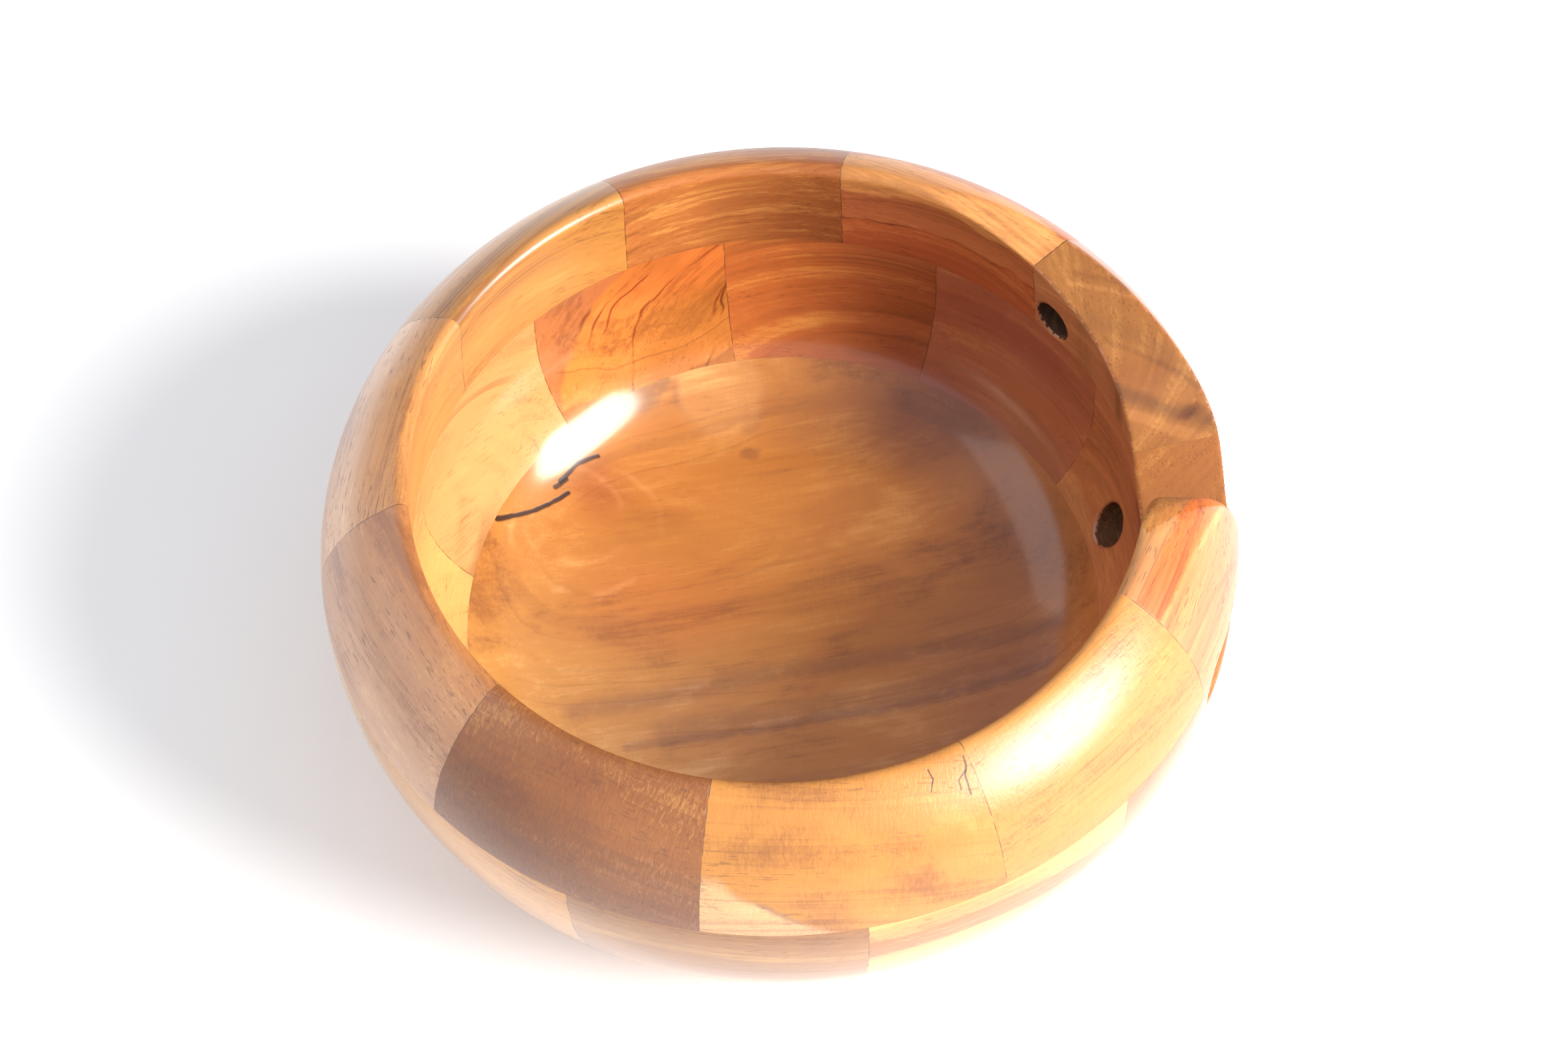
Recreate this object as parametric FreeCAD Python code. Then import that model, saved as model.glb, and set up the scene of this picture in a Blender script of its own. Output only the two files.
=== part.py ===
import FreeCAD, Part
import os
from math import cos, hypot, pi, radians, sin, sqrt

# Yarn bowl turned from a glued-up blank: a base board and two rings of ten segments each.
# Units are millimetres. +Z is up, the origin is the centre of the foot, on the table.
# Angles are degrees anticlockwise from +X, seen from above. The yarn slot is on the +X side.

# Overall size
OUTER_RADIUS = 75.0
HEIGHT = 70.0

# Glue planes between the base board, the wall ring and the rim ring
BASE_TOP = 25.0
WALL_TOP = 50.0

# Turned outside: one arc for the belly below the widest line, one for the shoulder above it
BELLY_ARC = 54.0
SHOULDER_ARC = 24.5
FOOT_ROUND = 1.5

# Turned inside: a faintly dished floor, a cove, and a wall that leans in towards the mouth
INNER_RADIUS = 60.0
FLOOR_THICKNESS = 15.3
FLOOR_ARC = 350.0
COVE_ARC = 25.0
WALL_ARC = 280.0
LIP_ROUND = 1.5

# Mitre joints of each ring. The segments were cut by hand, so they differ by a degree or so.
RIM_JOINTS = (6.7, 41.8, 77.4, 113.5, 149.3, 185.1, 221.8, 258.4, 295.7, 331.6)
WALL_JOINTS = (26.0, 61.3, 97.0, 131.8, 169.3, 205.6, 241.9, 278.4, 314.3, 350.0)

# Yarn slot: a hand-sawn ramp falls from the rim and turns back under a tongue. The angles and
# heights steer a smooth curve, from the start of the ramp down to the slot's drilled end.
SLOT_WIDTH = 10.0
SLOT_MIDDLE_HEIGHT = 45.6
SLOT_END_ANGLE = -22.6
RAMP_ANGLES_AND_HEIGHTS = (
    (68.0, 71.2),
    (54.0, 68.6),
    (40.0, 65.6),
    (28.0, 62.7),
    (19.0, 59.6),
    (12.8, 53.2),
    (8.0, 43.2),
    (2.0, 40.2),
    (-8.0, 40.6),
    (SLOT_END_ANGLE, 40.6),
)

# Tongue over the slot: its top falls in a large arc to a small round nose
TONGUE_ANGLE = -4.0
TONGUE_TIP = 2.1
TONGUE_TOP_ARC = 18.0
TONGUE_NOSE_ARC = 4.0

# Two holes for a needle or a strand of yarn, drilled along a radius: angle and height of each
HOLE_RADIUS = 3.6
HOLE_ANGLES_AND_HEIGHTS = ((37.6, 54.3), (11.2, 30.2))

# Cutting solids run from well inside the wall to well outside it, and clear of the rim
CUT_INSIDE = 40.0
CUT_OUTSIDE = 95.0
CUT_TOP = 85.0
CUT_BOTTOM = -5.0

AXIS = FreeCAD.Vector(0, 0, 1)
ORIGIN = FreeCAD.Vector(0, 0, 0)


def polar(radius, angle, height):
    """Point at a radius and an angle about the bowl's axis."""
    return FreeCAD.Vector(radius * cos(radians(angle)), radius * sin(radians(angle)), height)


def section_point(radius, height):
    """Point of the turned section, drawn in the XZ plane."""
    return FreeCAD.Vector(radius, 0, height)


def arc(centre, radius, start, end):
    """Arc of a section about centre, from the angle start to the angle end, in radians."""
    points = []
    for angle in (start, (start + end) / 2, end):
        points.append(centre + FreeCAD.Vector(radius * cos(angle), 0, radius * sin(angle)))
    return Part.Arc(*points).toShape()


def direction(start, end):
    """Angle of the line from start to end in the XZ plane, in radians."""
    return FreeCAD.Vector(1, 0, 0).getAngle(end - start) * (1 if end.z >= start.z else -1)


def turned_section():
    """Closed section of the whole bowl, from the axis out and back, as a face."""
    cove = section_point(
        INNER_RADIUS - COVE_ARC,
        FLOOR_THICKNESS + FLOOR_ARC - sqrt((FLOOR_ARC - COVE_ARC) ** 2 - (INNER_RADIUS - COVE_ARC) ** 2),
    )
    floor = section_point(0, FLOOR_THICKNESS + FLOOR_ARC)
    wall = section_point(INNER_RADIUS - WALL_ARC, cove.z)

    # The lip touches the leaning wall and the shoulder, and its crest is the bowl's height.
    lip_height = HEIGHT - LIP_ROUND
    lip_radius = wall.x + sqrt((WALL_ARC + LIP_ROUND) ** 2 - (lip_height - wall.z) ** 2)
    lip = section_point(lip_radius, lip_height)
    shoulder_x = OUTER_RADIUS - SHOULDER_ARC
    widest = lip_height - sqrt((SHOULDER_ARC - LIP_ROUND) ** 2 - (lip_radius - shoulder_x) ** 2)
    shoulder = section_point(shoulder_x, widest)
    belly = section_point(OUTER_RADIUS - BELLY_ARC, widest)

    # The foot's edge is a small round between the belly and the flat underside.
    foot_x = belly.x + sqrt((BELLY_ARC - FOOT_ROUND) ** 2 - (widest - FOOT_ROUND) ** 2)
    foot = section_point(foot_x, FOOT_ROUND)

    cove_floor = direction(floor, cove)
    wall_lip = direction(wall, lip)
    lip_shoulder = direction(shoulder, lip)
    foot_belly = direction(belly, foot)
    edges = [
        Part.LineSegment(ORIGIN, section_point(foot_x, 0)).toShape(),
        arc(foot, FOOT_ROUND, -pi / 2, foot_belly),
        arc(belly, BELLY_ARC, foot_belly, 0),
        arc(shoulder, SHOULDER_ARC, 0, lip_shoulder),
        arc(lip, LIP_ROUND, lip_shoulder, pi + wall_lip),
        arc(wall, WALL_ARC, wall_lip, 0),
        arc(cove, COVE_ARC, 0, cove_floor),
        arc(floor, FLOOR_ARC, cove_floor, -pi / 2),
        Part.LineSegment(section_point(0, FLOOR_THICKNESS), ORIGIN).toShape(),
    ]
    return Part.Face(Part.Wire(edges))


def layer(bowl, bottom, top):
    """The part of a solid between two glue planes."""
    return bowl.common(Part.makeCylinder(CUT_OUTSIDE, top - bottom, section_point(0, bottom), AXIS))


def ramp_edge(radius):
    """Smooth curve of the ramp and the slot floor at one radius, steered by the named points."""
    curve = Part.BSplineCurve()
    curve.buildFromPoles([polar(radius, angle, height) for angle, height in RAMP_ANGLES_AND_HEIGHTS])
    return curve.toShape()


def ramp_solid():
    """Space above the ramp and the slot floor. The ramp is level across the wall."""
    ramp = Part.makeRuledSurface(ramp_edge(CUT_INSIDE), ramp_edge(CUT_OUTSIDE))
    return ramp.extrude(section_point(0, CUT_TOP - WALL_TOP))


def tongue_solid():
    """Space kept for the tongue: its outline, drawn across the wall and swept along it."""
    underside = SLOT_MIDDLE_HEIGHT + SLOT_WIDTH / 2
    top = section_point(TONGUE_TIP - TONGUE_TOP_ARC, HEIGHT - TONGUE_TOP_ARC)
    nose_height = underside + TONGUE_NOSE_ARC
    reach = sqrt((TONGUE_TOP_ARC - TONGUE_NOSE_ARC) ** 2 - (nose_height - top.z) ** 2)
    nose = section_point(top.x + reach, nose_height)
    touch = direction(top, nose)
    back = -CUT_OUTSIDE
    edges = [
        Part.LineSegment(section_point(back, underside), section_point(nose.x, underside)).toShape(),
        arc(nose, TONGUE_NOSE_ARC, -pi / 2, touch),
        arc(top, TONGUE_TOP_ARC, touch, pi / 2),
        Part.LineSegment(section_point(top.x, HEIGHT), section_point(top.x, CUT_TOP)).toShape(),
        Part.LineSegment(section_point(top.x, CUT_TOP), section_point(back, CUT_TOP)).toShape(),
        Part.LineSegment(section_point(back, CUT_TOP), section_point(back, underside)).toShape(),
    ]
    outline = Part.Face(Part.Wire(edges))
    # The outline's X axis is turned to run round the bowl, then the outline is swept outwards.
    outline.rotate(ORIGIN, AXIS, 90.0 + TONGUE_ANGLE)
    outline.translate(polar(CUT_INSIDE, TONGUE_ANGLE, 0))
    return outline.extrude(polar(CUT_OUTSIDE - CUT_INSIDE, TONGUE_ANGLE, 0))


def radial_drill(radius, angle, height):
    """Drilled hole along a radius, from inside the bowl to outside it."""
    start = polar(CUT_INSIDE, angle, height)
    return Part.makeCylinder(radius, CUT_OUTSIDE - CUT_INSIDE, start, polar(1, angle, 0))


def slot_solid():
    """Everything that is sawn away for the yarn slot, with the drilled round end."""
    end = radial_drill(SLOT_WIDTH / 2, SLOT_END_ANGLE, SLOT_MIDDLE_HEIGHT)
    return ramp_solid().cut(tongue_solid()).fuse(end)


def segment(ring, start, end):
    """One mitred segment of a ring, between two joints."""
    span = (end - start) % 360
    corners = [
        section_point(0, CUT_BOTTOM),
        section_point(CUT_OUTSIDE, CUT_BOTTOM),
        section_point(CUT_OUTSIDE, CUT_TOP),
        section_point(0, CUT_TOP),
    ]
    first_face = Part.Face(Part.makePolygon(corners + corners[:1]))
    first_face.rotate(ORIGIN, AXIS, start)
    return ring.common(first_face.revolve(ORIGIN, AXIS, span))


def segments(ring, joints, name):
    """Named segments of a ring, one from each joint to the next."""
    pieces = {}
    ends = joints[1:] + joints[:1]
    for number, (start, end) in enumerate(zip(joints, ends), 1):
        pieces["%s_segment_%02d" % (name, number)] = segment(ring, start, end)
    return pieces


def build():
    bowl = turned_section().revolve(ORIGIN, AXIS, 360)
    opened = bowl.cut(slot_solid())
    for angle, height in HOLE_ANGLES_AND_HEIGHTS:
        opened = opened.cut(radial_drill(HOLE_RADIUS, angle, height))

    parts = {"base_board": layer(opened, 0, BASE_TOP)}
    parts.update(segments(layer(opened, BASE_TOP, WALL_TOP), WALL_JOINTS, "wall"))
    parts.update(segments(layer(opened, WALL_TOP, CUT_TOP), RIM_JOINTS, "rim"))
    return parts


os.makedirs("parts", exist_ok=True)
for node, shape in build().items():
    print(node, len(shape.Solids), "solid", round(shape.Volume / 1000, 2), "cm3", shape.isValid())
    shape.exportStep("parts/%s.step" % node)
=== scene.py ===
from math import atan2, cos, pi, radians, sin, sqrt

import bmesh
import bpy
import numpy as np
from mathutils import Euler, Matrix, Vector


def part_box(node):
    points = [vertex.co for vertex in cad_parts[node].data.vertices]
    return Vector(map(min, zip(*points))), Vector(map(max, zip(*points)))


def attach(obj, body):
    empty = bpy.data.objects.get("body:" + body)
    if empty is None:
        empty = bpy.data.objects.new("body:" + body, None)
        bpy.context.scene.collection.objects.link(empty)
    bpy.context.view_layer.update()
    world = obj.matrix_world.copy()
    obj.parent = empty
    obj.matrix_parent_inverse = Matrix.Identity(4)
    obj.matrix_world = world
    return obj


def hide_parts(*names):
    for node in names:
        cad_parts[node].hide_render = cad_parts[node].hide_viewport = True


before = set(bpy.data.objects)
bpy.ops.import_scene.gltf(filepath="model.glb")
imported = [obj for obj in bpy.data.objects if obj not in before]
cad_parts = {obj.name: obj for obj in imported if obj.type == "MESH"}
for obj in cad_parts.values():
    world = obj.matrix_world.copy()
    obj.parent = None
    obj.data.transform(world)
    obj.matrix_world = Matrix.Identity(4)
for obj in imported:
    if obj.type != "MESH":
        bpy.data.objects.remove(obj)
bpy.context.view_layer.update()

# Yarn bowl turned from a glued-up blank. The shapes below are worked out in millimetres and degrees, in
# the CAD model's frame: +Z is up, the origin is the centre of the foot, the slot is on the +X side.
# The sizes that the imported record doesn't hold repeat the CAD source's.

MM = 0.001

# ---------------------------------------------------------------- sizes of the turned bowl
OUTER_RADIUS = 75.0
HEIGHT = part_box("rim_segment_05")[1].z / MM
BASE_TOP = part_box("base_board")[1].z / MM
WALL_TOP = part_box("wall_segment_05")[1].z / MM
BELLY_ARC = 54.0
SHOULDER_ARC = 24.5
FOOT_ROUND = 1.5
INNER_RADIUS = 60.0
FLOOR_THICKNESS = 15.3
FLOOR_ARC = 350.0
COVE_ARC = 25.0
WALL_ARC = 280.0
LIP_ROUND = 1.5

RIM_JOINTS = (6.7, 41.8, 77.4, 113.5, 149.3, 185.1, 221.8, 258.4, 295.7, 331.6)
WALL_JOINTS = (26.0, 61.3, 97.0, 131.8, 169.3, 205.6, 241.9, 278.4, 314.3, 350.0)

# ---------------------------------------------------------------- yarn slot, tongue and holes
SLOT_WIDTH = 10.0
SLOT_MIDDLE_HEIGHT = 45.6
SLOT_END_ANGLE = -22.6
RAMP_ANGLES_AND_HEIGHTS = (
    (68.0, 71.2), (54.0, 68.6), (40.0, 65.6), (28.0, 62.7), (19.0, 59.6),
    (12.8, 53.2), (8.0, 43.2), (2.0, 40.2), (-8.0, 40.6), (SLOT_END_ANGLE, 40.6),
)
TONGUE_ANGLE = -4.0
TONGUE_TIP = 2.1
TONGUE_TOP_ARC = 18.0
TONGUE_NOSE_ARC = 4.0
HOLE_RADIUS = 3.6
HOLE_ANGLES_AND_HEIGHTS = ((37.6, 54.3), (11.2, 30.2))

# Rounding that hand sanding left on the sawn edges, and how gradually it grows on the tongue
SLOT_EDGE_ROUND = 0.45
TONGUE_EDGE_ROUND = 2.4
TONGUE_BLEND = 4.0
HOLE_EDGE_ROUND = 0.4
LEAST_ROUND = 0.01

# Mesh spacing, and the step that the bowl's slope is measured over
SWEEP_STEP = 1.2
PROFILE_STEP = 1.0
ARC_PIECES = 6
NET_ANGLE_STEP = 0.42
NET_STEP = 0.5
NET_MARGIN = 1.5
NET_INNER_RADIUS = 50.0
FOOT_STEP = 4.0
SLOPE_STEP = 0.01
LEAST_STEEPNESS = 0.25

# A face deeper than this below the turned surface was left by the saw or the drill
SAWN_DEPTH = 0.25

# Points nearer to a plane than this, in metres, lie on it
JOINT_GAP = 1e-6

# Slack at the ends of an arc, in radians, and a distance that is never the nearest
ARC_SLACK = 1e-6
FAR = 1e3


# ================================================================ turned section
def arc_between(centre, radius, start, end, side):
    """Arc of an outline: side is 1 where the wood is inside the arc's circle, -1 outside it."""
    return {"centre": centre, "radius": radius, "start": start, "end": end, "side": side}


def turned_arcs():
    """The section's arcs in order from the foot, over the lip, to the middle of the floor."""
    cove_x = INNER_RADIUS - COVE_ARC
    floor_z = FLOOR_THICKNESS + FLOOR_ARC
    cove_z = floor_z - sqrt((FLOOR_ARC - COVE_ARC) ** 2 - cove_x**2)
    wall_x = INNER_RADIUS - WALL_ARC
    lip_z = HEIGHT - LIP_ROUND
    lip_x = wall_x + sqrt((WALL_ARC + LIP_ROUND) ** 2 - (lip_z - cove_z) ** 2)
    shoulder_x = OUTER_RADIUS - SHOULDER_ARC
    widest = lip_z - sqrt((SHOULDER_ARC - LIP_ROUND) ** 2 - (lip_x - shoulder_x) ** 2)
    belly_x = OUTER_RADIUS - BELLY_ARC
    foot_x = belly_x + sqrt((BELLY_ARC - FOOT_ROUND) ** 2 - (widest - FOOT_ROUND) ** 2)
    foot_belly = atan2(FOOT_ROUND - widest, foot_x - belly_x)
    lip_shoulder = atan2(lip_z - widest, lip_x - shoulder_x)
    wall_lip = atan2(lip_z - cove_z, lip_x - wall_x)
    cove_floor = atan2(cove_z - floor_z, cove_x)
    return [
        arc_between((foot_x, FOOT_ROUND), FOOT_ROUND, -pi / 2, foot_belly, 1),
        arc_between((belly_x, widest), BELLY_ARC, foot_belly, 0, 1),
        arc_between((shoulder_x, widest), SHOULDER_ARC, 0, lip_shoulder, 1),
        arc_between((lip_x, lip_z), LIP_ROUND, lip_shoulder, pi + wall_lip, 1),
        arc_between((wall_x, cove_z), WALL_ARC, wall_lip, 0, -1),
        arc_between((cove_x, cove_z), COVE_ARC, 0, cove_floor, -1),
        arc_between((0, floor_z), FLOOR_ARC, cove_floor, -pi / 2, -1),
    ]


def arc_point(arc, angle):
    """Point of an arc at an angle in radians: its radius and its height."""
    return arc["centre"][0] + arc["radius"] * cos(angle), arc["centre"][1] + arc["radius"] * sin(angle)


def outline_points(arcs, step):
    """Points along the arcs, about one step apart."""
    points = []
    for arc in arcs:
        span = arc["end"] - arc["start"]
        count = max(ARC_PIECES, round(abs(span) * arc["radius"] / step))
        points += [arc_point(arc, arc["start"] + span * i / count) for i in range(count)]
    points.append(arc_point(arcs[-1], arcs[-1]["end"]))
    return points


def nearest(distances):
    """From several signed distances, the one nearest to nought at each point."""
    best = distances[0]
    for other in distances[1:]:
        best = np.where(np.abs(other) < np.abs(best), other, best)
    return best


def arc_distance(arc, x, z):
    """Signed distance from an arc, and far away outside the arc's own sector."""
    dx = x - arc["centre"][0]
    dz = z - arc["centre"][1]
    middle = (arc["start"] + arc["end"]) / 2
    half = abs(arc["end"] - arc["start"]) / 2
    offset = (np.arctan2(dz, dx) - middle + pi) % (2 * pi) - pi
    distance = arc["side"] * (np.hypot(dx, dz) - arc["radius"])
    return np.where(np.abs(offset) <= half + ARC_SLACK, distance, FAR)


ARCS = turned_arcs()


def turned_distance(radius, z):
    """Signed distance from the turned surfaces, negative in the wood."""
    return nearest([arc_distance(a, radius, z) for a in ARCS])


# ================================================================ slot and holes
def smooth_step(low, high, value):
    """A smooth step from 0 at low to 1 at high."""
    t = np.clip((value - low) / (high - low), 0, 1)
    return t * t * (3 - 2 * t)


def ramp_curve(count=400):
    """Angles and heights along the ramp's clamped cubic B-spline."""
    poles = []
    for angle, height in RAMP_ANGLES_AND_HEIGHTS:
        poles.append((cos(radians(angle)), sin(radians(angle)), height))
    poles = np.array(poles)
    spans = len(poles) - 3
    knots = np.array([0.0] * 3 + [float(k) for k in range(spans + 1)] + [float(spans)] * 3)
    t = np.linspace(0, spans - 1e-9, count)
    basis = [((knots[i] <= t) & (t < knots[i + 1])).astype(float) for i in range(len(knots) - 1)]
    for degree in (1, 2, 3):
        raised = []
        for i in range(len(basis) - 1):
            value = np.zeros_like(t)
            if knots[i + degree] > knots[i]:
                value += (t - knots[i]) / (knots[i + degree] - knots[i]) * basis[i]
            if knots[i + degree + 1] > knots[i + 1]:
                value += (knots[i + degree + 1] - t) / (knots[i + degree + 1] - knots[i + 1]) * basis[i + 1]
            raised.append(value)
        basis = raised
    points = np.stack(basis, 1) @ poles
    angles = np.degrees(np.arctan2(points[:, 1], points[:, 0]))
    return angles[::-1], points[::-1, 2]


RAMP_ANGLES, RAMP_HEIGHTS = ramp_curve()
RAMP_SLOPES = np.gradient(RAMP_HEIGHTS, np.radians(RAMP_ANGLES))


def ramp_distance(radius, angle, z):
    """Distance above the ramp and the slot floor, negative in the wood below."""
    slope = np.interp(angle, RAMP_ANGLES, RAMP_SLOPES) / radius
    return (z - np.interp(angle, RAMP_ANGLES, RAMP_HEIGHTS)) / np.sqrt(1 + slope**2)


def middle_angle(start, end):
    """The angle halfway round from one joint to the next."""
    return start + (end - start) % 360 / 2


def clockwise(angle):
    """Direction square to the radius at an angle, pointing clockwise seen from above."""
    return Vector((sin(radians(angle)), -cos(radians(angle)), 0))


def across(x, y, angle):
    """How far a point lies anticlockwise from the radius at an angle."""
    return y * cos(radians(angle)) - x * sin(radians(angle))


def tongue_distance(x, y, z):
    """Distance from the tongue's outline, which runs straight across the wall, and how far along it."""
    along = across(x, y, TONGUE_ANGLE)
    underside = SLOT_MIDDLE_HEIGHT + SLOT_WIDTH / 2
    top = (TONGUE_TIP - TONGUE_TOP_ARC, HEIGHT - TONGUE_TOP_ARC)
    nose_z = underside + TONGUE_NOSE_ARC
    nose_x = top[0] + sqrt((TONGUE_TOP_ARC - TONGUE_NOSE_ARC) ** 2 - (nose_z - top[1]) ** 2)
    touch = atan2(nose_z - top[1], nose_x - top[0])
    nose = arc_distance(arc_between((nose_x, nose_z), TONGUE_NOSE_ARC, -pi / 2, touch, 1), along, z)
    crown = arc_distance(arc_between(top, TONGUE_TOP_ARC, touch, pi / 2, 1), along, z)
    below = np.where(along <= nose_x, underside - z, FAR)
    return nearest([below, nose, crown]), along


def drill_distance(drill_radius, drill_angle, height, x, y, z):
    """Distance into a radial drilled hole, positive in the hole."""
    return drill_radius - np.hypot(across(x, y, drill_angle), z - height)


def rounded_overlap(a, b, radius):
    """The overlap of two solids with their common edge rounded."""
    both = np.hypot(np.maximum(a + radius, 0), np.maximum(b + radius, 0))
    return np.minimum(np.maximum(a, b), -radius) + both


def bowl_distance(points):
    """Signed distance from the slotted, drilled and sanded bowl."""
    x, y, z = points[..., 0], points[..., 1], points[..., 2]
    radius = np.hypot(x, y)
    angle = np.degrees(np.arctan2(y, x))
    turned = turned_distance(radius, z)
    tongue, along = tongue_distance(x, y, z)
    ramp = ramp_distance(radius, angle, z)
    beyond_end = across(x, y, SLOT_END_ANGLE)
    slot_end = drill_distance(SLOT_WIDTH / 2, SLOT_END_ANGLE, SLOT_MIDDLE_HEIGHT, x, y, z)
    kept = np.maximum(np.minimum(np.minimum(ramp, tongue), beyond_end), slot_end)

    # The tongue's tip is rounded most. Its crown starts level with the rim, where nothing is rounded.
    on_tongue = smooth_step(WALL_TOP, WALL_TOP + TONGUE_BLEND, z) * (ramp > tongue)
    tip = TONGUE_EDGE_ROUND * smooth_step(TONGUE_TIP - TONGUE_TOP_ARC, TONGUE_TIP - TONGUE_BLEND, along)
    edge = SLOT_EDGE_ROUND + (tip - SLOT_EDGE_ROUND) * on_tongue
    solid = rounded_overlap(turned, kept, np.maximum(edge, LEAST_ROUND))
    for hole_angle, height in HOLE_ANGLES_AND_HEIGHTS:
        hole = drill_distance(HOLE_RADIUS, hole_angle, height, x, y, z)
        solid = rounded_overlap(solid, hole, HOLE_EDGE_ROUND)
    return solid


# ================================================================ meshes
def section_between(bottom, top):
    """The turned outline between two heights, in order, cut level at both."""
    points = outline_points(ARCS, PROFILE_STEP)
    kept = []
    for (r0, z0), (r1, z1) in zip(points, points[1:]):
        if bottom <= z0 <= top:
            kept.append((r0, z0))
        levels = [z for z in (bottom, top) if min(z0, z1) < z < max(z0, z1)]
        for z in sorted(levels, reverse=z1 < z0):
            kept.append((r0 + (r1 - r0) * (z - z0) / (z1 - z0), z))
    if bottom <= points[-1][1] <= top:
        kept.append(points[-1])
    return kept


def linked(name, data):
    """A new object of some data, in the scene."""
    made = bpy.data.objects.new(name, data)
    bpy.context.scene.collection.objects.link(made)
    return made


def finish_mesh(bm, name, flat_faces):
    """Makes an object of a bmesh: smooth faces, outward normals, and sharp edges round the flat faces."""
    bmesh.ops.recalc_face_normals(bm, faces=bm.faces)
    flat = set(flat_faces)
    for face in bm.faces:
        face.smooth = face not in flat
    for edge in bm.edges:
        edge.smooth = not any(face in flat for face in edge.link_faces)
    mesh = bpy.data.meshes.new(name)
    bm.to_mesh(mesh)
    bm.free()
    return linked(name, mesh)


def turned_row(bm, section, angle):
    """The points of a section as vertices of a bmesh, turned to an angle in radians."""
    return [bm.verts.new((r * cos(angle) * MM, r * sin(angle) * MM, z * MM)) for r, z in section]


def swept_segment(name, bottom, top, start, end):
    """A ring segment without a cut: its section swept from one mitre joint to the next."""
    section = section_between(bottom, top)
    span = (end - start) % 360
    count = round(span / SWEEP_STEP)
    bm = bmesh.new()
    rows = [turned_row(bm, section, radians(start + span * i / count)) for i in range(count + 1)]
    flat = [bm.faces.new(rows[0]), bm.faces.new(rows[-1])]
    for row, after in zip(rows, rows[1:]):
        for j in range(len(section)):
            face = bm.faces.new((row[j - 1], row[j], after[j], after[j - 1]))
            level = abs(row[j - 1].co.z - row[j].co.z) < JOINT_GAP
            if level and abs(section[j - 1][0] - section[j][0]) > LIP_ROUND:
                flat.append(face)
    return finish_mesh(bm, name, flat)


def turned_base(name):
    """The base board: its section turned about the axis."""
    section = section_between(0, BASE_TOP)
    foot = section[0][0]
    rings = round(foot / FOOT_STEP)
    section = [(foot * i / rings, 0) for i in range(1, rings)] + section
    glue = max(j for j in range(1, len(section)) if section[j - 1][1] == section[j][1] == BASE_TOP)
    count = round(360 / SWEEP_STEP)
    bm = bmesh.new()
    rows = [turned_row(bm, section[:-1], 2 * pi * i / count) for i in range(count)]
    under = bm.verts.new((0, 0, 0))
    middle = bm.verts.new((0, 0, section[-1][1] * MM))
    flat = []
    for i, row in enumerate(rows):
        after = rows[(i + 1) % count]
        bm.faces.new((under, row[0], after[0]))
        bm.faces.new((middle, after[-1], row[-1]))
        for j in range(1, len(row)):
            face = bm.faces.new((row[j - 1], row[j], after[j], after[j - 1]))
            if j == glue:
                flat.append(face)
    return finish_mesh(bm, name, flat)


def surface_net(values, points):
    """Vertices and quads of the surface where values change sign on a grid of points. A cell that the
    surface crosses gets one vertex, the mean of the crossings on its edges."""
    inside = values < 0
    shape = tuple(n - 1 for n in values.shape)
    total = np.zeros(shape + (3,))
    crossings = np.zeros(shape)
    offsets = [(a, b, c) for a in (0, 1) for b in (0, 1) for c in (0, 1)]
    edges = [(p, q) for p in offsets for q in offsets if p < q and sum(a != b for a, b in zip(p, q)) == 1]

    def corner(array, offset):
        return array[tuple(slice(o, o + n) for o, n in zip(offset, shape))]

    for p, q in edges:
        crossed = corner(inside, p) != corner(inside, q)
        a, b = corner(values, p)[crossed], corner(values, q)[crossed]
        share = (a / (a - b))[:, None]
        total[crossed] += corner(points, p)[crossed] * (1 - share) + corner(points, q)[crossed] * share
        crossings[crossed] += 1
    active = crossings > 0
    number = np.full(shape, -1)
    number[active] = np.arange(active.sum())
    vertices = total[active] / crossings[active][:, None]
    quads = []
    for axis in range(3):
        low = [slice(1, n) for n in shape]
        high = list(low)
        low[axis] = slice(0, shape[axis])
        high[axis] = slice(1, shape[axis] + 1)
        first, second = inside[tuple(low)], inside[tuple(high)]
        u, v = [k for k in range(3) if k != axis]
        around = []
        for du, dv in ((1, 1), (0, 1), (0, 0), (1, 0)):
            cell = list(low)
            cell[u] = slice(1 - du, shape[u] - du)
            cell[v] = slice(1 - dv, shape[v] - dv)
            around.append(number[tuple(cell)])
        ring = np.stack(around, -1)
        out = (first & ~second) if axis != 1 else (~first & second)
        back = (~first & second) if axis != 1 else (first & ~second)
        quads += [ring[out], ring[back][:, ::-1]]
    quads = np.concatenate(quads)
    return vertices, quads[(quads >= 0).all(1)]


def settle(points, rounds):
    """Moves points onto the bowl's surface along its slope."""
    for _ in range(rounds):
        distance = bowl_distance(points)
        slope = np.empty_like(points)
        for axis in range(3):
            step = np.zeros(3)
            step[axis] = SLOPE_STEP
            rise = bowl_distance(points + step) - bowl_distance(points - step)
            slope[:, axis] = rise / (2 * SLOPE_STEP)
        steep = np.maximum((slope**2).sum(1), LEAST_STEEPNESS)
        points = points - slope * (distance / steep)[:, None]
    return points


def evened(points, quads, rounds):
    """Spreads the points of a net more evenly over the surface."""
    ends = np.concatenate([quads[:, [k, (k + 1) % 4]] for k in range(4)])
    count = np.bincount(ends.ravel(), minlength=len(points))[:, None]
    for _ in range(rounds):
        total = np.zeros_like(points)
        np.add.at(total, ends[:, 0], points[ends[:, 1]])
        np.add.at(total, ends[:, 1], points[ends[:, 0]])
        points = settle((points + total / np.maximum(count, 1)) / 2, 2)
    return points


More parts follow.
